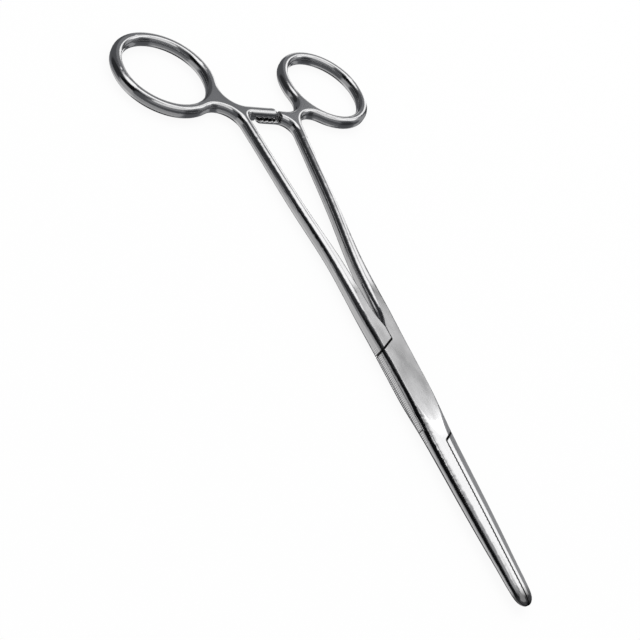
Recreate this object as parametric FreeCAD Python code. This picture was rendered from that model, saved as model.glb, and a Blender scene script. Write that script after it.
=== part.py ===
import FreeCAD, Part
import math
import os

# Straight haemostatic forceps: two forged steel halves that cross in a box lock, with finger rings,
# a ratchet between the shanks and jaws with cross serrations.
# Frame: millimetres, origin on the pivot axis at the underside of the lock. +Y runs to the jaw tip,
# +Z is up out of the resting face, and +X is the side of the male half's finger ring.
# Both halves are forged from the same blank. It is drawn here on the +X side about the middle plane,
# and half a turn about Y gives the blank of the other side.

V = FreeCAD.Vector
TOP = V(0, 0, 1)
QUARTER = 0.5523            # handle length of a cubic curve that draws a quarter of a circle

# Whole instrument
overall_length = 160.0
jaw_reach = 49.5            # pivot to jaw tip
lock_thickness = 4.0        # across the two ground faces of the box
jaw_gap = 0.1               # between the closed jaws

# Lock
pin_radius = 1.3
pin_press_gap = 0.005       # radial, pin to plates
pin_running_fit = 0.05      # radial, pin to tongue
tongue_thickness = 1.5
tongue_clearance = 0.06     # tongue face to plate face
shoulder_reach = 13.0       # pivot to where the seams of the lock meet on the middle line
shoulder_slope = 0.62       # of the plate edges, against X
wall_slope = 1.0            # of the walls beside the tongue, against X
seam_gap = 0.18             # between the halves along every seam of the closed lock
lock_half_width = 3.85
shoulder_half_width = 4.1
shoulder_round = 1.5
grinding_allowance = 0.2    # taken off each face of the forged lock

# Jaws, closed: half widths run from the middle line to the outer side
jaw_root_half_width = 3.6
jaw_tip_half_width = 2.25
jaw_root_thickness = 3.7
jaw_tip_thickness = 2.1
jaw_taper_power = 1.4       # over 1 keeps the jaw full near its root
jaw_crown = 0.7             # rounding of the jaw's back as a share of its half width
jaw_inner_round = 0.5       # of the forging before the jaws are parted
jaw_cheek = 0.42            # rounding of the jaw's outer side as a share of its thickness
nose_length = 2.8
nose_angles = (35, 60, 77)  # of the rounded nose, from its root towards its end
serration_pitch = 0.9
serration_height = 0.35
serration_start = 1.2       # from the seam of the lock

# Shanks
shank_width = 2.8
shank_thickness = 3.6
shank_spread = 7.4          # middle line to the shank's centreline where the web starts
shank_bow = 0.28
crotch_reach = 18.0         # pivot to where the shanks part
crotch_half_width = 4.35
crotch_round = 1.7          # the shanks are nearly round bars where they part
neck_reach = 34.0           # pivot to where a shank is slender
neck_half_width = 4.7
neck_width = 3.4
bar_steps = 24              # even sections of the loft from web to nose

# Finger rings and webs
ring_inner_radius = 10.9
ring_wire = 2.8             # across the wire in plan
ring_straight = 0.7         # makes the ring a little longer than wide
ring_thickness = 3.4
ring_offset = 17.3          # ring's centre beyond the shank's centreline
web_height = 9.0            # arm's centre to where the shank starts
web_step = 0.02             # the shank is ground this much finer than the web on every side
edge_roundness = 0.94       # rounding as a share of half the thinnest wall
lock_roundness = 1.0        # rounding of the lock's edges as a share of the other edges'
web_outer_blend = 5.6       # between the shank's outer side and the ring
web_inner_blend = 5.6       # between the ratchet arm and the ring
upper_root_blend = 1.6      # between the shank's inner side and the upper ratchet arm
lower_root_blend = 3.5

# Ratchet
arm_width = 3.0
arm_setback = 11.7          # upper arm's centre distal of the ring's centre
lower_arm_shift = 0.9       # the lower arm stands out distal of the upper one
arm_reach = 3.3             # arm tip beyond the middle line
arm_tip_gap = 0.4           # arm tip to the other half's root
tooth_pitch = 1.5
tooth_height = 0.45
tooth_count = 4
tooth_backlash = 0.1        # between locking faces when the jaws are closed
tooth_passing_gap = 0.2     # between tooth tips; the real shanks spring to close it

# Places worked out from the sizes
half_lock = lock_thickness / 2
half_tongue = tongue_thickness / 2
ring_outer_radius = ring_inner_radius + ring_wire
ring_x = shank_spread + ring_offset
ring_y = jaw_reach - overall_length + ring_outer_radius + ring_straight / 2
upper_arm_y = ring_y + arm_setback
lower_arm_y = upper_arm_y + lower_arm_shift
web_y = upper_arm_y + web_height
edge_round = edge_roundness * min(ring_wire, arm_width, shank_width, ring_thickness) / 2
clear_of_all = 2 * overall_length
beyond_sides = 2 * ring_x
beyond_lock = 2 * crotch_half_width
nose_y = jaw_reach - nose_length


def quarter_turn(start, corner, end):
    """A quarter of an ellipse from start to end, tangent to the lines that meet in corner."""
    curve = Part.BezierCurve()
    curve.setPoles([start, start + (corner - start) * QUARTER, end + (corner - end) * QUARTER, end])
    return curve.toShape()


def bar_section(y, inner, outer, thickness, inner_round, outer_round, side_round):
    """Outline across a bar at y: a rectangle with rounded corners, softer on the outer side."""
    high = thickness / 2
    outer_flat = outer - outer_round
    inner_flat = inner + inner_round
    outer_side = high - side_round
    inner_side = high - inner_round
    return Part.Wire([
        Part.makeLine(V(inner_flat, y, high), V(outer_flat, y, high)),
        quarter_turn(V(outer_flat, y, high), V(outer, y, high), V(outer, y, outer_side)),
        Part.makeLine(V(outer, y, outer_side), V(outer, y, -outer_side)),
        quarter_turn(V(outer, y, -outer_side), V(outer, y, -high), V(outer_flat, y, -high)),
        Part.makeLine(V(outer_flat, y, -high), V(inner_flat, y, -high)),
        quarter_turn(V(inner_flat, y, -high), V(inner, y, -high), V(inner, y, -inner_side)),
        Part.makeLine(V(inner, y, -inner_side), V(inner, y, inner_side)),
        quarter_turn(V(inner, y, inner_side), V(inner, y, high), V(inner_flat, y, high)),
    ])


def shank_centre(y):
    """Distance of a shank's centreline from the middle line: a straight run with a slight bow."""
    along = (-neck_reach - y) / (-neck_reach - web_y)
    neck = neck_half_width - neck_width / 2
    return neck + (shank_spread - neck) * along + 4 * shank_bow * along * (1 - along)


def bar_stations():
    """Sizes of the bar where it changes: y, inner, outer, thickness, inner, outer and side rounding."""
    half_shank = shank_width / 2
    middle_y = (web_y - neck_reach) / 2
    middle = shank_centre(middle_y)
    rough_lock = lock_thickness + 2 * grinding_allowance
    lock_round = edge_round * lock_roundness
    jaw_y = (shoulder_reach + nose_y) / 2
    taper = 0.5 ** jaw_taper_power
    jaw_half_width = jaw_root_half_width + (jaw_tip_half_width - jaw_root_half_width) * taper
    jaw_thickness = jaw_root_thickness + (jaw_tip_thickness - jaw_root_thickness) * taper
    return [
        (web_y, shank_spread - half_shank + web_step, shank_spread + half_shank - web_step,
         ring_thickness - 2 * web_step, edge_round, edge_round, edge_round),
        (middle_y, middle - half_shank, middle + half_shank, shank_thickness,
         edge_round, edge_round, edge_round),
        (-neck_reach, neck_half_width - neck_width, neck_half_width, shank_thickness,
         edge_round, edge_round, edge_round),
        (-crotch_reach, seam_gap / 2, crotch_half_width, rough_lock,
         crotch_round, crotch_round, crotch_round),
        (-shoulder_reach, -half_shank, shoulder_half_width, rough_lock,
         shoulder_round, shoulder_round, shoulder_round),
        (0, -half_shank, lock_half_width, rough_lock,
         lock_round, lock_round, lock_round),
        jaw_station(shoulder_reach, jaw_root_half_width, jaw_root_thickness),
        jaw_station(jaw_y, jaw_half_width, jaw_thickness),
        jaw_station(nose_y, jaw_tip_half_width, jaw_tip_thickness),
    ]


def jaw_station(y, half_width, thickness):
    """Half of a flattened round, whose inner side lies past the middle line and is trimmed later."""
    return (y, -half_width / 2, half_width, thickness,
            jaw_inner_round, half_width * jaw_crown, thickness * jaw_cheek)


def column_slopes(places, values):
    """Slopes of a smooth curve through the values that never swings past them."""
    steps = [(v2 - v1) / (p2 - p1) for p1, p2, v1, v2 in zip(places, places[1:], values, values[1:])]
    inner = [0 if a * b <= 0 else 2 * a * b / (a + b) for a, b in zip(steps, steps[1:])]
    return [steps[0]] + inner + [steps[-1]]


def smooth_sizes(stations, y):
    """Every size of the bar at y, eased between the stations on each side of it."""
    places = [station[0] for station in stations]
    after = max(1, next((n for n, place in enumerate(places) if place >= y), len(places) - 1))
    width = places[after] - places[after - 1]
    t = (y - places[after - 1]) / width
    sizes = []
    for values in list(zip(*stations))[1:]:
        slopes = column_slopes(places, values)
        start, end = values[after - 1], values[after]
        ease = 3 * t ** 2 - 2 * t ** 3
        bend = slopes[after - 1] * (t - 2 * t ** 2 + t ** 3) + slopes[after] * (t ** 3 - t ** 2)
        sizes.append(start + (end - start) * ease + width * bend)
    return sizes


def forged_bar():
    """Shank, half of the lock and jaw in one flowing bar, on the +X side."""
    stations = bar_stations()
    places = [web_y + (nose_y - web_y) * number / bar_steps for number in range(bar_steps + 1)]
    sections = [bar_section(y, *smooth_sizes(stations, y)) for y in places]
    end_angle = math.radians(nose_angles[-1])
    for angle in map(math.radians, nose_angles):
        shrink = math.cos(angle)
        reach = nose_length * math.sin(angle) / math.sin(end_angle)
        sections.append(bar_section(nose_y + reach, *[size * shrink for size in stations[-1][1:]]))
    return Part.makeLoft(sections, True, False)


def prism(points, low=-half_lock, high=half_lock):
    """Upright solid over a plan outline. Its usual height is the ground thickness of the lock."""
    corners = [V(x, y, low) for x, y in points]
    return Part.Face(Part.makePolygon(corners + corners[:1])).extrude(TOP * (high - low))


def opposite(points):
    """The same outline on the far side of the pivot."""
    return [(-x, -y) for x, y in points]


def turned_over(shape):
    """Half a turn about Y: the blank of one half laid on the other side."""
    turned = shape.copy()
    turned.rotate(V(0, 0, 0), V(0, 1, 0), 180)
    return turned


def arc_about(centre, start, end, away=None):
    """Arc from start to end whose middle lies in the direction away from centre."""
    away = away or (start + end) * 0.5 - centre
    radius = (start - centre).Length
    middle = centre + away * (radius / away.Length)
    return Part.Arc(start, middle, end).toShape()


def blend_to_circle(point, run, side, blend, centre, radius):
    """Centre and ends of the concave arc between a line through point and the outside of a circle."""
    offset = point + side * blend - centre
    along = offset.dot(run)
    travel = -along - math.sqrt(along ** 2 - offset.dot(offset) + (radius + blend) ** 2)
    middle = centre + offset + run * travel
    on_circle = centre + (middle - centre) * (radius / (radius + blend))
    return middle, middle - side * blend, on_circle


def ring_outline(radius):
    """Two half circles with a short straight run between them."""
    top = V(ring_x, ring_y + ring_straight / 2, 0)
    bottom = V(ring_x, ring_y - ring_straight / 2, 0)
    across = V(radius, 0, 0)
    return Part.Wire([
        arc_about(top, top + across, top - across, V(0, 1, 0)),
        Part.makeLine(top - across, bottom - across),
        arc_about(bottom, bottom - across, bottom + across, V(0, -1, 0)),
        Part.makeLine(bottom + across, top + across),
    ])


def handle_outline(arm_y, root_blend):
    """Plan of ring, web and ratchet arm as one smooth line, open only where the shank joins."""
    middle_y = (web_y - neck_reach) / 2
    run = V(shank_spread - shank_centre(middle_y), web_y - middle_y, 0).normalize()
    outward = V(-run.y, run.x, 0)
    inner_top = V(shank_spread - shank_width / 2, web_y, 0)
    outer_top = V(shank_spread + shank_width / 2, web_y, 0)
    arm_high = arm_y + arm_width / 2
    arm_low = arm_y - arm_width / 2
    tip = V(arm_width / 2 - arm_reach, arm_y, 0)
    ring_top = V(ring_x, ring_y + ring_straight / 2, 0)
    ring_bottom = V(ring_x, ring_y - ring_straight / 2, 0)
    across = V(ring_outer_radius, 0, 0)

    root_y = arm_high + root_blend
    travel = (root_y - inner_top.y + outward.y * root_blend) / run.y
    root = inner_top - outward * root_blend + run * travel
    root_on_shank = root + outward * root_blend
    root_on_arm = V(root.x, arm_high, 0)
    below, below_on_arm, below_on_ring = blend_to_circle(
        V(tip.x, arm_low, 0), V(1, 0, 0), V(0, -1, 0), web_inner_blend, ring_top, ring_outer_radius)
    beside, beside_on_shank, beside_on_ring = blend_to_circle(
        outer_top, run, outward, web_outer_blend, ring_top, ring_outer_radius)
    return Part.Wire([
        Part.makeLine(inner_top, root_on_shank),
        arc_about(root, root_on_shank, root_on_arm),
        Part.makeLine(root_on_arm, V(tip.x, arm_high, 0)),
        arc_about(tip, V(tip.x, arm_high, 0), V(tip.x, arm_low, 0), V(-1, 0, 0)),
        Part.makeLine(V(tip.x, arm_low, 0), below_on_arm),
        arc_about(below, below_on_arm, below_on_ring),
        arc_about(ring_top, below_on_ring, ring_top - across),
        Part.makeLine(ring_top - across, ring_bottom - across),
        arc_about(ring_bottom, ring_bottom - across, ring_bottom + across, V(0, -1, 0)),
        Part.makeLine(ring_bottom + across, ring_top + across),
        arc_about(ring_top, ring_top + across, beside_on_ring, V(1, 1, 0)),
        arc_about(beside, beside_on_ring, beside_on_shank),
        Part.makeLine(beside_on_shank, outer_top),
        Part.makeLine(outer_top, inner_top),
    ])


def handle_blank(arm_y, root_blend):
    """Finger ring, web and ratchet arm, forged in one thickness and rounded on every long edge."""
    plan = Part.Face(handle_outline(arm_y, root_blend)).cut(Part.Face(ring_outline(ring_inner_radius)))
    blank = plan.extrude(TOP * ring_thickness)
    blank.translate(TOP * (-ring_thickness / 2))
    rim = [edge for edge in blank.Edges
           if abs(edge.BoundBox.ZLength) < 0.001 and edge.BoundBox.YMin < web_y - 0.001]
    return blank.makeFillet(edge_round, rim)


def ratchet_relief(arm_y):
    """What is milled from under the arm: the other arm's room, and the gaps between the teeth."""
    tips = tooth_passing_gap / 2
    roots = tips + tooth_height
    step = arm_reach + arm_tip_gap
    end = -2 * arm_reach
    profile = [(end, -ring_thickness), (step, -ring_thickness), (step, roots)]
    for number in range(tooth_count, 0, -1):
        face = tooth_pitch * (number - tooth_count / 2) - tooth_backlash / 2
        profile += [(face, roots), (face, tips), (face - tooth_pitch, roots)]
    profile.append((end, roots))
    front = arm_y - 2 * arm_width
    corners = [V(x, front, z) for x, z in profile]
    return Part.Face(Part.makePolygon(corners + corners[:1])).extrude(V(0, 4 * arm_width, 0))


def handle(arm_y, root_blend):
    """Handle with an upper ratchet arm on +X; turned over, it is one with a lower arm on -X."""
    return handle_blank(arm_y, root_blend).cut(ratchet_relief(arm_y))


def jaw_parting(gap_side):
    """The zigzag between the jaws, whose teeth mesh, from the lock's seam to past the tip."""
    face = gap_side * jaw_gap / 2
    start = shoulder_reach + serration_start
    half_pitch = serration_pitch / 2
    line = [(face, shoulder_reach), (face, start)]
    count = int((nose_y - start) / half_pitch)
    for number in range(count):
        swing = serration_height / 2 * (-1) ** number
        line.append((face + swing, start + (number + 0.5) * half_pitch))
    return line + [(face, start + count * half_pitch), (face, jaw_reach + nose_length)]


def shoulder_y(x, gap=0.0):
    """Y of the edge of the plates over the +X shank, or of the shank's shoulder a gap away."""
    return -shoulder_reach + shoulder_slope * x - gap * math.hypot(1, shoulder_slope)


def wall_y(x, gap=0.0):
    """Y of the +X jaw's wall beside the tongue, or of the tongue's side a gap away."""
    return shoulder_reach - wall_slope * x - gap * math.hypot(1, wall_slope)


def female_half(bar, far_bar, grip):
    """The box half: shank on -X, two plates with a slot between them, and the jaw on +X."""
    side, far, half_gap = beyond_sides, clear_of_all, seam_gap / 2
    left_plan = [(-side, -far), (-half_gap, -far), (-half_gap, -shoulder_reach),
                 (0, -shoulder_reach), (0, shoulder_reach), (-side, -shoulder_y(side))]
    parting = jaw_parting(1)
    right_plan = [(0, -shoulder_reach), (side, shoulder_y(side)), (side, parting[-1][1])] + parting[::-1]
    right_plan.append((0, shoulder_reach))
    half = far_bar.common(prism(left_plan)).fuse(bar.common(prism(right_plan)))
    right_slot = [(0, -far), (side, -far), (side, wall_y(side)), (0, wall_y(0))]
    slot_height = half_tongue + tongue_clearance
    for plan in (right_slot, opposite(right_slot)):
        half = half.cut(prism(plan, -slot_height, slot_height))
    bore = lock_cylinder(pin_radius + pin_press_gap)
    return half.cut(bore).fuse(turned_over(grip)).removeSplitter()


def male_half(bar, far_bar, grip):
    """The half that passes through the box: shank on +X, thin tongue, and the jaw on -X."""
    side, far, half_gap = beyond_sides, clear_of_all, seam_gap / 2
    shank_plan = [(half_gap, -far), (side, -far), (side, shoulder_y(side, seam_gap)),
                  (half_gap, shoulder_y(half_gap, seam_gap))]
    parting = jaw_parting(-1)
    jaw_end = parting[0][0]
    jaw_plan = [(jaw_end, -shoulder_y(-jaw_end, seam_gap)), (-side, -shoulder_y(side, seam_gap)),
                (-side, parting[-1][1])] + parting[:0:-1]
    half = bar.common(prism(shank_plan)).fuse(far_bar.common(prism(jaw_plan)))
    root = shoulder_reach + seam_gap * 2
    inner_end = wall_y(0, seam_gap)
    outer_end = wall_y(beyond_lock, seam_gap)
    right_tongue = [(half_gap, -root), (beyond_lock, -root), (beyond_lock, outer_end), (0, inner_end),
                    (0, -inner_end), (half_gap, -inner_end)]
    for blank, plan in ((bar, right_tongue), (far_bar, opposite(right_tongue))):
        half = half.fuse(blank.common(prism(plan, -half_tongue, half_tongue)))
    bore = lock_cylinder(pin_radius + pin_running_fit)
    return half.cut(bore).fuse(grip).removeSplitter()


def lock_cylinder(radius):
    """Cylinder on the pivot axis between the two ground faces."""
    return Part.makeCylinder(radius, lock_thickness, V(0, 0, -half_lock))


def main():
    bar = forged_bar()
    far_bar = turned_over(bar)
    pieces = {
        "female_half": female_half(bar, far_bar, handle(lower_arm_y, lower_root_blend)),
        "male_half": male_half(bar, far_bar, handle(upper_arm_y, upper_root_blend)),
        "lock_pin": lock_cylinder(pin_radius),
    }
    os.makedirs("parts", exist_ok=True)
    for name, shape in pieces.items():
        shape.translate(TOP * half_lock)
        shape.exportStep(f"parts/{name}.step")
        print(name, shape.isValid(), len(shape.Solids), round(shape.Volume, 2), shape.optimalBoundingBox())


main()
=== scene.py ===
# %% [markdown]
# A straight haemostatic forceps in polished steel, dressed and photographed.
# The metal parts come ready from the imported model, which is the fixed frame: two forged halves and
# the pin they turn on. This lesson finishes their surfaces, builds a small studio round them and sets
# the camera. Everything is in metres, with the pivot on the Z axis and the jaws pointing along +Y.

# %% Load the frame
import math

import bpy
from mathutils import Matrix, Vector


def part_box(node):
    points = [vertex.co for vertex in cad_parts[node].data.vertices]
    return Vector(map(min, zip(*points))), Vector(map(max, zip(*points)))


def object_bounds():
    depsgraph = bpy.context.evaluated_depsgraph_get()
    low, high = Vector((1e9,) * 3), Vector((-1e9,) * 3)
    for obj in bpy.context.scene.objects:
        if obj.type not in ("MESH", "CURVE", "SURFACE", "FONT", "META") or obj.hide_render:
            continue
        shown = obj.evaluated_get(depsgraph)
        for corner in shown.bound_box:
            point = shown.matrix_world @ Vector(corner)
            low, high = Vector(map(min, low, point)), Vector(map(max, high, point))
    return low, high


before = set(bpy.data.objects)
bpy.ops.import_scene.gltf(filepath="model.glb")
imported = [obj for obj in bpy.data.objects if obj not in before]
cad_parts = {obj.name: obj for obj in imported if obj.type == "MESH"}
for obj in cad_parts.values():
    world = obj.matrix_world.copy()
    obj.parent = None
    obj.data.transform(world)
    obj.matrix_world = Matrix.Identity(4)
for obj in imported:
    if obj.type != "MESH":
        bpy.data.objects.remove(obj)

cad_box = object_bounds()
pin_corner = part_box("lock_pin")[1]
pin_radius = pin_corner.x
half_lock = pin_corner.z / 2
jaw_tip = cad_box[1][1]
print("nodes:", sorted(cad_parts), "half the lock is", round(half_lock * 1000, 2), "mm")

# %% [markdown]
# The camera comes first, because every later choice is judged through it. The photograph looks down on
# the forceps from beside the jaws, on their +X side, close enough for strong perspective: the jaws look
# longer than they are. The camera is placed, turned to a point near the lock and then rolled.

# %% Camera
camera_place = Vector((0.13903, 0.06548, 0.13533 + half_lock))
camera_aim = Vector((0.01515, -0.02094, half_lock))
camera_roll = math.radians(38.343)

camera_data = bpy.data.cameras.new("camera")
camera_data.sensor_width = 36.0
camera_data.lens = 52.434
camera_data.clip_start = 0.01
camera = bpy.data.objects.new("camera", camera_data)
bpy.context.scene.collection.objects.link(camera)
facing = (camera_aim - camera_place).to_track_quat("-Z", "Y").to_matrix().to_4x4()
camera.matrix_world = Matrix.Translation(camera_place) @ facing @ Matrix.Rotation(camera_roll, 4, "Z")
bpy.context.scene.camera = camera
print("camera is", round((camera_aim - camera_place).length, 4), "m from its aim")

# %% [markdown]
# Materials are small graphs of nodes. A few short helpers keep the cells below easy to read: they start
# an empty material, add math nodes and ramps, and give the place of a point on the piece.

# %% Helpers
def clear_selection():
    """Deselect everything, because an operator acts on all that is selected."""
    if bpy.context.object and bpy.context.object.mode != "OBJECT":
        bpy.ops.object.mode_set(mode="OBJECT")
    bpy.ops.object.select_all(action="DESELECT")


def new_material(name):
    """A node material that starts empty, with its node tree."""
    material = bpy.data.materials.new(name)
    material.use_nodes = True
    material.node_tree.nodes.clear()
    return material, material.node_tree


def feed(tree, socket, value):
    """Set a socket to a number, or link another socket to it."""
    if isinstance(value, (int, float)):
        socket.default_value = value
    else:
        tree.links.new(value, socket)


def math_node(tree, operation, *values, clamp=False):
    """The result of a math node whose inputs are sockets or numbers."""
    node = tree.nodes.new("ShaderNodeMath")
    node.operation = operation
    node.use_clamp = clamp
    for socket, value in zip(node.inputs, values):
        feed(tree, socket, value)
    return node.outputs[0]


def add_up(tree, first, *others):
    """The sum of several sockets or numbers."""
    total = first
    for other in others:
        total = math_node(tree, "ADD", total, other)
    return total


def times(tree, first, *others):
    """The product of several sockets or numbers."""
    product = first
    for other in others:
        product = math_node(tree, "MULTIPLY", product, other)
    return product


def size_of(tree, value):
    """A value without its sign."""
    return math_node(tree, "ABSOLUTE", value)


def from_axis(tree, x, y):
    """How far a point at x and y is from the Z axis."""
    return math_node(tree, "SQRT", add_up(tree, times(tree, x, x), times(tree, y, y)))


def ramp(tree, value, start, end, low=0.0, high=1.0):
    """Ease from low to high while value goes from start to end."""
    node = tree.nodes.new("ShaderNodeMapRange")
    node.interpolation_type = "SMOOTHSTEP"
    feed(tree, node.inputs["Value"], value)
    for label, number in (("From Min", start), ("From Max", end), ("To Min", low), ("To Max", high)):
        feed(tree, node.inputs[label], number)
    return node.outputs[0]


def place_on_piece(tree):
    """X, Y and Z of a point in metres, as the node's own mesh holds them."""
    split = tree.nodes.new("ShaderNodeSeparateXYZ")
    tree.links.new(tree.nodes.new("ShaderNodeTexCoord").outputs["Object"], split.inputs[0])
    return split.outputs


def show(tree, shader, kind="ShaderNodeOutputMaterial"):
    """Link a shader to the output of its tree."""
    tree.links.new(shader.outputs[0], tree.nodes.new(kind).inputs["Surface"])


print("helpers ready for", len(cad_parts), "pieces")

# %% [markdown]
# The forceps lie on white paper that has no visible end. A plain white plane would go grey where the
# light falls off, so most of what the camera sees of it is a clean white glow. The rest is real paper,
# and keeps a faint soft shadow that seats the metal on the table. The world is white in the same way.

# %% White table and white surroundings
def eye_or_mirror(tree):
    """1 for rays from the camera, a mirror or glass, and 0 for the light that falls on things."""
    path = tree.nodes.new("ShaderNodeLightPath")
    seen = math_node(tree, "MAXIMUM", path.outputs["Is Camera Ray"], path.outputs["Is Glossy Ray"])
    return math_node(tree, "MAXIMUM", seen, path.outputs["Is Transmission Ray"])


paper_white = 0.9
paper_drop = 0.0002         # keeps the paper clear of the underside
glow_share = 0.92
ambient_light = 0.8

clear_selection()
bpy.ops.mesh.primitive_plane_add(size=8, location=(0, 0, -paper_drop))
table = bpy.context.object
table.name = "studio_table"
paper, tree = new_material("white_paper")
sheet = tree.nodes.new("ShaderNodeBsdfPrincipled")
sheet.inputs["Base Color"].default_value = (paper_white, paper_white, paper_white, 1)
sheet.inputs["Roughness"].default_value = 0.9
sheet.inputs["Specular IOR Level"].default_value = 0.0
glow = tree.nodes.new("ShaderNodeEmission")
blend = tree.nodes.new("ShaderNodeMixShader")
feed(tree, blend.inputs["Fac"], times(tree, eye_or_mirror(tree), glow_share))
tree.links.new(sheet.outputs[0], blend.inputs[1])
tree.links.new(glow.outputs[0], blend.inputs[2])
show(tree, blend)
table.data.materials.append(paper)
table.visible_glossy = False

world = bpy.data.worlds.new("studio_world")
bpy.context.scene.world = world
world.use_nodes = True
tree = world.node_tree
tree.nodes.clear()
sky = tree.nodes.new("ShaderNodeBackground")
sky.inputs["Color"].default_value = (1, 1, 1, 1)
feed(tree, sky.inputs["Strength"], ramp(tree, eye_or_mirror(tree), 0.0, 1.0, ambient_light, 1.0))
show(tree, sky, "ShaderNodeOutputWorld")
print("table and world are white, ambient light", ambient_light)

# %% [markdown]
# Polished steel has hardly any colour of its own: it shows the room. A photographer therefore surrounds
# it with white softboxes, grey walls and black cards, and each one becomes a band along the round shanks.
# Here the cards are painted on one large dome that only mirrors see. Every card is a window in azimuth,
# counted from +X to +Y, and in elevation. It has a soft rim and lies over the cards before it. Where the
# dome is dark it is slightly blue, as the shadows of the photograph are.

# %% Dome of cards that the metal mirrors
wall_level = 0.11
all_round = 180
# middle azimuth, half width, lowest and highest elevation, softness of the rim, brightness
cards = {
    "near_table": (0, all_round, -95, -35, 4, 0.5),
    "front_table": (-35, 42, -95, -37, 4, 0.75),
    "far_table": (-147, 37, -75, -32, 5, 0.12),
    "side_table": (150, 24, -60, -28, 5, 0.12),
    "contact_shadow": (0, all_round, -95, -67, 3, 0.05),
    "side_wall": (108, 66, 12, 38, 6, 0.27),
    "side_softbox": (112, 62, 47, 95, 5, 1.0),
    "tip_card": (138, 16, -30, 32, 5, 0.05),
    "far_wall": (-130, 18, -26, 14, 5, 0.75),
    "far_wall_top": (-126, 22, 14, 53, 5, 0.24),
    "bright_door": (-144, 7, -28, 50, 3, 1.45),
    "dark_door": (-159, 5, -40, 26, 2, 0.05),
    "jaw_wall": (-176, 12, -40, 32, 4, 0.38),
    "far_softbox": (-172, 15.5, 34, 60, 2.5, 1.5),
    "overhead_softbox": (-99, 75, 52, 95, 4, 1.5),
    "zenith": (0, all_round, 80, 95, 3, 0.4),
    "grey_skylight": (-16, 44, 68, 95, 3, 0.4),
    "ceiling": (4, 26, 48, 66, 3, 0.05),
    "grey_card": (-45, 18, -27, 42, 4, 0.035),
    "black_card": (-6, 20, -8, 58, 4, 0.006),
    "low_wall": (-8, 18, -40, -12, 4, 0.45),
}
dark_tint = {"Red": 0.94, "Green": 0.97, "Blue": 1.04}
untinted_level = 0.6


def window(tree, angle, half_width, softness):
    """1 where an angle is within half a width of 0, with a soft rim."""
    return ramp(tree, size_of(tree, angle), half_width + softness, half_width - softness)


clear_selection()
bpy.ops.mesh.primitive_uv_sphere_add(segments=48, ring_count=24, radius=3)
dome = bpy.context.object
dome.name = "studio_dome"
for ray in ("camera", "diffuse", "transmission", "shadow"):
    setattr(dome, "visible_" + ray, False)
card_paint, tree = new_material("card_paint")
x, y, z = place_on_piece(tree)
azimuth = math_node(tree, "DEGREES", math_node(tree, "ARCTAN2", y, x))
elevation = math_node(tree, "DEGREES", math_node(tree, "ARCTAN2", z, from_axis(tree, x, y)))

level = wall_level
for middle, half_width, low, high, softness, brightness in cards.values():
    lift = math_node(tree, "SUBTRACT", elevation, (low + high) / 2)
    card = window(tree, lift, (high - low) / 2, softness)
    if half_width < all_round:
        turn = math_node(tree, "WRAP", math_node(tree, "SUBTRACT", azimuth, middle), 180.0, -180.0)
        card = times(tree, card, window(tree, turn, half_width, softness))
    level = add_up(tree, level, times(tree, math_node(tree, "SUBTRACT", brightness, level), card))

shine = tree.nodes.new("ShaderNodeEmission")
feed(tree, shine.inputs["Strength"], level)
cool_shade = tree.nodes.new("ShaderNodeCombineColor")
for channel, tint in dark_tint.items():
    feed(tree, cool_shade.inputs[channel], ramp(tree, level, 0.0, untinted_level, tint, 1.0))
tree.links.new(cool_shade.outputs[0], shine.inputs["Color"])
show(tree, shine)
dome.data.materials.append(card_paint)
print("the dome holds", len(cards), "cards")

# %% [markdown]
# One large softbox overhead and behind gives the table its light. It is left out of the reflections,
# because the dome already shows the metal where the softboxes are.

# %% Softbox lamp
key_azimuth = math.radians(-120)
key_elevation = math.radians(62)
key_direction = Vector((math.cos(key_elevation) * math.cos(key_azimuth),
                        math.cos(key_elevation) * math.sin(key_azimuth), math.sin(key_elevation)))
key_data = bpy.data.lights.new("softbox", "AREA")
key_data.shape = "DISK"
key_data.size = 0.9
key_data.energy = 3.2
key = bpy.data.objects.new("softbox", key_data)
bpy.context.scene.collection.objects.link(key)
key.location = key_direction
key.rotation_euler = key_direction.to_track_quat("Z", "Y").to_euler()
key.visible_glossy = False
print("softbox of", key_data.energy, "W at", [round(c, 2) for c in key.location])

# %% [markdown]
# Four effects are shared by the finishes of the halves and of the pin, so each is a node group.
# A polishing wheel leaves fine lines along the metal and broad soft patches where it pressed harder.

# %% Shared effect: wheel polish
def new_group(name, inputs, outputs):
    """An empty node group with named float sockets, and the nodes at its two ends."""
    tree = bpy.data.node_groups.new(name, "ShaderNodeTree")
    for label, value in inputs.items():
        socket = tree.interface.new_socket(label, in_out="INPUT", socket_type="NodeSocketFloat")
        socket.default_value = value
    for label in outputs:
        tree.interface.new_socket(label, in_out="OUTPUT", socket_type="NodeSocketFloat")
    return tree, tree.nodes.new("NodeGroupInput").outputs, tree.nodes.new("NodeGroupOutput").inputs


def noise(tree, scale, detail=3.0, stretch=(1.0, 1.0, 1.0), shift=0.0):
    """Noise from -0.5 to 0.5 over the piece, drawn out along an axis where its stretch is small."""
    mapping = tree.nodes.new("ShaderNodeMapping")
    mapping.inputs["Scale"].default_value = stretch
    mapping.inputs["Location"].default_value = (shift, shift, shift)
    tree.links.new(tree.nodes.new("ShaderNodeTexCoord").outputs["Object"], mapping.inputs["Vector"])
    node = tree.nodes.new("ShaderNodeTexNoise")
    tree.links.new(mapping.outputs[0], node.inputs["Vector"])
    feed(tree, node.inputs["Scale"], scale)
    node.inputs["Detail"].default_value = detail
    return math_node(tree, "SUBTRACT", node.outputs["Fac"], 0.5)


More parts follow.
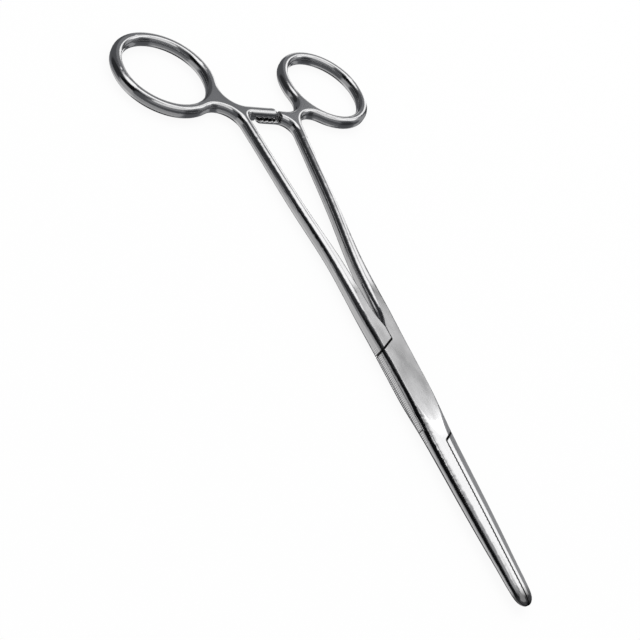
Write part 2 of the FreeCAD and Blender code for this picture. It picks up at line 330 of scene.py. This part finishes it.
line_stretch = (1.0, 0.1, 1.0)
patch_stretch = (1.0, 0.45, 1.0)
pit_scale = 3500
pit_share = 0.3
wheel_polish, ends, results = new_group("wheel_polish", {"Line scale": 1500.0, "Patch scale": 180.0},
                                        ["Lines", "Patches"])
fine_lines = noise(wheel_polish, ends["Line scale"], 4.0, line_stretch)
pits = times(wheel_polish, noise(wheel_polish, pit_scale, 2.0), pit_share)
patches = noise(wheel_polish, ends["Patch scale"], 3.0, patch_stretch, 0.3)
feed(wheel_polish, results["Lines"], add_up(wheel_polish, fine_lines, pits))
feed(wheel_polish, results["Patches"], patches)
print("wheel_polish:", [socket.name for socket in wheel_polish.interface.items_tree])

# %% [markdown]
# Every ridge gets a painted highlight that brightens its colour. The Bevel node rounds the normals near an
# edge, so the angle between the rounded and the true normal tells how close an edge is, with no need to
# mark the edges by hand.

# %% Shared effect: painted edge highlights
edge_highlight, ends, results = new_group("edge_highlight", {"Width": 0.00025, "Sharpness": 6.0}, ["Edge"])
rounded = edge_highlight.nodes.new("ShaderNodeBevel")
rounded.samples = 6
feed(edge_highlight, rounded.inputs["Radius"], ends["Width"])
likeness = edge_highlight.nodes.new("ShaderNodeVectorMath")
likeness.operation = "DOT_PRODUCT"
edge_highlight.links.new(rounded.outputs[0], likeness.inputs[0])
edge_highlight.links.new(edge_highlight.nodes.new("ShaderNodeNewGeometry").outputs["Normal"], likeness.inputs[1])
apart = math_node(edge_highlight, "SUBTRACT", 1.0, likeness.outputs["Value"])
feed(edge_highlight, results["Edge"], math_node(edge_highlight, "MULTIPLY", apart, ends["Sharpness"], clamp=True))
print("edge_highlight:", [socket.name for socket in edge_highlight.interface.items_tree])

# %% [markdown]
# Seams, notches and the roots of the teeth get painted shade: ambient occlusion over a fraction of a
# millimetre finds these sheltered places, and the finish darkens their colour there.

# %% Shared effect: painted shade in seams
dark_seam, ends, results = new_group("dark_seam", {"Reach": 0.0008, "Strength": 1.0}, ["Dirt"])
shelter = dark_seam.nodes.new("ShaderNodeAmbientOcclusion")
shelter.samples = 12
feed(dark_seam, shelter.inputs["Distance"], ends["Reach"])
# Painted shade: the more a point is sheltered, the darker its colour is painted.
hidden = math_node(dark_seam, "SUBTRACT", 1.0, shelter.outputs["AO"])
feed(dark_seam, results["Dirt"], math_node(dark_seam, "MULTIPLY", hidden, ends["Strength"], clamp=True))
print("dark_seam:", [socket.name for socket in dark_seam.interface.items_tree])

# %% [markdown]
# The two halves meet in a slanting seam at each end of the lock and in a fine zigzag between the jaws.
# Their lips are darkened with painted shade, laid by their place on the piece.

# %% Shared effect: painted shade along the joints
seam_reach = 0.0131         # pivot to where a seam would meet the middle line
seam_slope = 0.62           # of the seams, against X
seam_rim = (1.5, 0.9)       # in widths from the seam, where its paint starts and where it is full
jaw_rim = (1.4, 0.8)


def lip(tree, away, width, rim):
    """Paint along a line, from how far a point is away from it."""
    return ramp(tree, math_node(tree, "DIVIDE", size_of(tree, away), width), *rim)


joint_lips, ends, results = new_group("joint_lips", {"Seam width": 0.00026, "Jaw width": 0.00015}, ["Lips"])
x, y, _ = place_on_piece(joint_lips)
lean = math_node(joint_lips, "MULTIPLY_ADD", size_of(joint_lips, x), seam_slope, size_of(joint_lips, y))
off_seam = math_node(joint_lips, "SUBTRACT", lean, seam_reach)
has_seam = math_node(joint_lips, "LESS_THAN", times(joint_lips, x, y), 0.0)
on_jaws = math_node(joint_lips, "GREATER_THAN", y, seam_reach)
seam = times(joint_lips, has_seam, lip(joint_lips, off_seam, ends["Seam width"], seam_rim))
meeting = times(joint_lips, on_jaws, lip(joint_lips, x, ends["Jaw width"], jaw_rim))
# Painted shade along the slanting seams and the line between the jaws.
feed(joint_lips, results["Lips"], math_node(joint_lips, "MAXIMUM", seam, meeting))
print("joint_lips:", [socket.name for socket in joint_lips.interface.items_tree])

# %% [markdown]
# The two flat faces of the lock are ground on a stone and only brushed afterwards, so they are satin and
# cloudy, while everything else is polished like a mirror. Their height tells them apart. Towards the jaws
# the brushing fades in streaks and a painted highlight brightens the face. The sides of the lock still
# carry short upright marks of the grinding wheel on their lower half.

# %% Masks of the steel
face_rim = (0.00015, 0.00001)       # below the ground faces, where their mask starts and is full
streak_stretch = (1.0, 0.15, 1.0)
streak_length = 0.012
brushing_fades = (0.001, 0.0095)    # along Y, as are the next two
# where the painted highlight on the lock's faces starts and is full
lock_highlight_grows = (0.001, 0.0105)
marks_end = (0.0128, 0.0118)
mark_pitch = 0.00045
mark_wander = 9.0                   # radians, over the noise that bends the marks
pin_rim = (0.0003, 0.0007)          # beyond the pin, which is ground flush and gets no softened edge and no painted edge highlight


def placed(tree, shared, **values):
    """The outputs of a shared effect, placed in a material with its own values."""
    node = tree.nodes.new("ShaderNodeGroup")
    node.node_tree = shared
    for label, value in values.items():
        node.inputs[label.replace("_", " ")].default_value = value
    return node.outputs


def level_face_mask(tree):
    """1 on the two flat faces of the lock and wherever the shanks were ground level with them."""
    height = size_of(tree, math_node(tree, "SUBTRACT", place_on_piece(tree)["Z"], half_lock))
    return ramp(tree, height, half_lock - face_rim[0], half_lock - face_rim[1])


def streaked_length(tree):
    """Y moved to and fro by streaks that run along the lock."""
    streaks = noise(tree, 400, 3.0, streak_stretch)
    return math_node(tree, "MULTIPLY_ADD", streaks, streak_length, place_on_piece(tree)["Y"])


def wheel_mark_mask(tree):
    """1 on the lower half of the lock's sides."""
    place = place_on_piece(tree)
    facing = tree.nodes.new("ShaderNodeSeparateXYZ")
    tree.links.new(tree.nodes.new("ShaderNodeNewGeometry").outputs["Normal"], facing.inputs[0])
    sideways = ramp(tree, size_of(tree, facing.outputs["X"]), 0.75, 0.9)
    on_lock = ramp(tree, size_of(tree, place["Y"]), *marks_end)
    low = ramp(tree, place["Z"], 1.3 * half_lock, half_lock)
    return times(tree, sideways, on_lock, low)


def wheel_marks(tree):
    """Upright ridges of the grinding wheel, from -1 to 1, where the lock's sides carry them."""
    turns = times(tree, place_on_piece(tree)["Y"], 2 * math.pi / mark_pitch)
    wander = times(tree, noise(tree, 700), mark_wander)
    return times(tree, math_node(tree, "SINE", add_up(tree, turns, wander)), wheel_mark_mask(tree))


def steel_masks(tree):
    """Every effect that the finish of the steel draws on, by name."""
    polish = placed(tree, wheel_polish)
    cloud = placed(tree, wheel_polish, Line_scale=4000.0, Patch_scale=190.0)
    place = place_on_piece(tree)
    off_pin = ramp(tree, from_axis(tree, place["X"], place["Y"]), *(pin_radius + rim for rim in pin_rim))
    edge = placed(tree, edge_highlight, Width=0.0002, Sharpness=5.0)["Edge"]
    # Painted shade of the seams: sheltered places and the lips of the joints.
    seam_shade = math_node(tree, "MAXIMUM", placed(tree, dark_seam)["Dirt"], placed(tree, joint_lips)["Lips"])
    level_face = level_face_mask(tree)
    streaked = streaked_length(tree)
    return {
        "lines": polish["Lines"],
        "patches": polish["Patches"],
        "cloud_lines": cloud["Lines"],
        "cloud_patches": cloud["Patches"],
        "off_pin": off_pin,
        # Painted highlight along the edges, kept off the pin's rim.
        "edge": times(tree, off_pin, edge),
        "seam_shade": seam_shade,
        "ground": times(tree, level_face, ramp(tree, streaked, *brushing_fades, 1.0, 0.0)),
        # Painted highlight on the lock's faces, brighter towards the jaws.
        "lock_highlight": times(tree, level_face, ramp(tree, streaked, *lock_highlight_grows)),
        "marks": wheel_marks(tree),
    }


print("masks ready for a pin of radius", round(pin_radius * 1000, 2), "mm")

# %% [markdown]
# The finish turns the masks into a tone, a roughness and a normal. The ground faces get painted shade that
# darkens them towards the shanks, and the nose of the jaws is darkened as a painted dark reflection.

# %% Steel finish
# The lock highlight and the edges add painted highlights to the tone.
tone_gains = {"patches": 0.10, "lock_highlight": 0.34, "edge": 0.25, "marks": 0.3}
roughness_gains = {"patches": 0.08, "seam_shade": 0.25}
cloud_gain = 0.8
# painted shade on the ground faces, darker towards the shanks
lock_shade_along = (-0.014, 0.002)       # along Y
lock_shade_tones = (-0.22, -0.05)
seam_shade_share = 0.05                   # of the tone that is left under the painted seam shade
# the nose of the jaws is darkened as a painted dark reflection
nose_rim = (0.004, 0.0017)          # before the jaw's tip, where the dark nose starts and is full
nose_share = 0.3
steel_tint = {"Red": 1.0, "Green": 0.998, "Blue": 1.006}
edge_radius = 0.00026
bump_depth = 0.000005
ground_lines = 0.3                  # of the polishing lines that is left on ground faces
mark_height = 2.0
cloud_height = 0.2


def gained(tree, masks, gains):
    """Each mask that gains names, times its gain."""
    return [times(tree, masks[name], gain) for name, gain in gains.items()]


def steel_colour(tree, masks, tone):
    """Colour of the steel, from its plain tone and the masks."""
    along = place_on_piece(tree)["Y"]
    # Painted shade on the ground faces, darker towards the shanks.
    lock_face_shade = ramp(tree, along, *lock_shade_along, *lock_shade_tones)
    clouds = math_node(tree, "MULTIPLY_ADD", masks["cloud_patches"], cloud_gain, lock_face_shade)
    clean = add_up(tree, tone, times(tree, clouds, masks["ground"]), *gained(tree, masks, tone_gains))
    # Painted shade darkens the colour in the seams.
    seam_shaded = ramp(tree, masks["seam_shade"], 0.0, 1.0, 1.0, seam_shade_share)
    # Painted dark reflection on the nose of the jaws.
    nose = ramp(tree, along, jaw_tip - nose_rim[0], jaw_tip - nose_rim[1], 1.0, nose_share)
    shade = times(tree, clean, seam_shaded, nose)
    colour = tree.nodes.new("ShaderNodeCombineColor")
    for channel, tint in steel_tint.items():
        feed(tree, colour.inputs[channel], times(tree, shade, tint))
    return colour.outputs[0]


def steel_normal(tree, masks):
    """Normal of the steel, with softened edges and the relief of lines, clouds and marks."""
    soft_edge = tree.nodes.new("ShaderNodeBevel")
    soft_edge.samples = 6
    feed(tree, soft_edge.inputs["Radius"], times(tree, masks["off_pin"], edge_radius))
    bump = tree.nodes.new("ShaderNodeBump")
    bump.inputs["Distance"].default_value = bump_depth
    lines = times(tree, masks["lines"], ramp(tree, masks["ground"], 0.0, 1.0, 1.0, ground_lines))
    marks = times(tree, masks["marks"], mark_height)
    clouds = times(tree, masks["cloud_lines"], masks["ground"], cloud_height)
    feed(tree, bump.inputs["Height"], add_up(tree, lines, marks, clouds))
    tree.links.new(soft_edge.outputs[0], bump.inputs["Normal"])
    return bump.outputs[0]


def steel_finish(name, tone, polish_roughness, ground_roughness):
    """Polished steel with satin ground faces, painted edge highlights, painted shade in the seams and marks
    of the grinding wheel.
    """
    material, tree = new_material(name)
    masks = steel_masks(tree)
    satin = ramp(tree, masks["ground"], 0.0, 1.0, polish_roughness, ground_roughness)
    shader = tree.nodes.new("ShaderNodeBsdfPrincipled")
    shader.inputs["Metallic"].default_value = 1.0
    feed(tree, shader.inputs["Base Color"], steel_colour(tree, masks, tone))
    feed(tree, shader.inputs["Roughness"], add_up(tree, satin, *gained(tree, masks, roughness_gains)))
    feed(tree, shader.inputs["Normal"], steel_normal(tree, masks))
    show(tree, shader)
    print(name, "has", len(tree.nodes), "nodes")
    return material


steel = {"tone": 0.62, "polish_roughness": 0.13, "ground_roughness": 0.27}
finishes = {
    "female_half": steel_finish("polished_box_half", **steel),
    "male_half": steel_finish("polished_tongue_half", **steel),
    "lock_pin": steel_finish("ground_pin", **steel),
}
for name, finish in finishes.items():
    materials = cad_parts[name].data.materials
    materials.clear()
    materials.append(finish)
print("dressed:", ", ".join(finishes))

# %% [markdown]
# The last cell fixes how colours reach the picture.

# %% Colour handling
bpy.context.scene.view_settings.view_transform = "Standard"
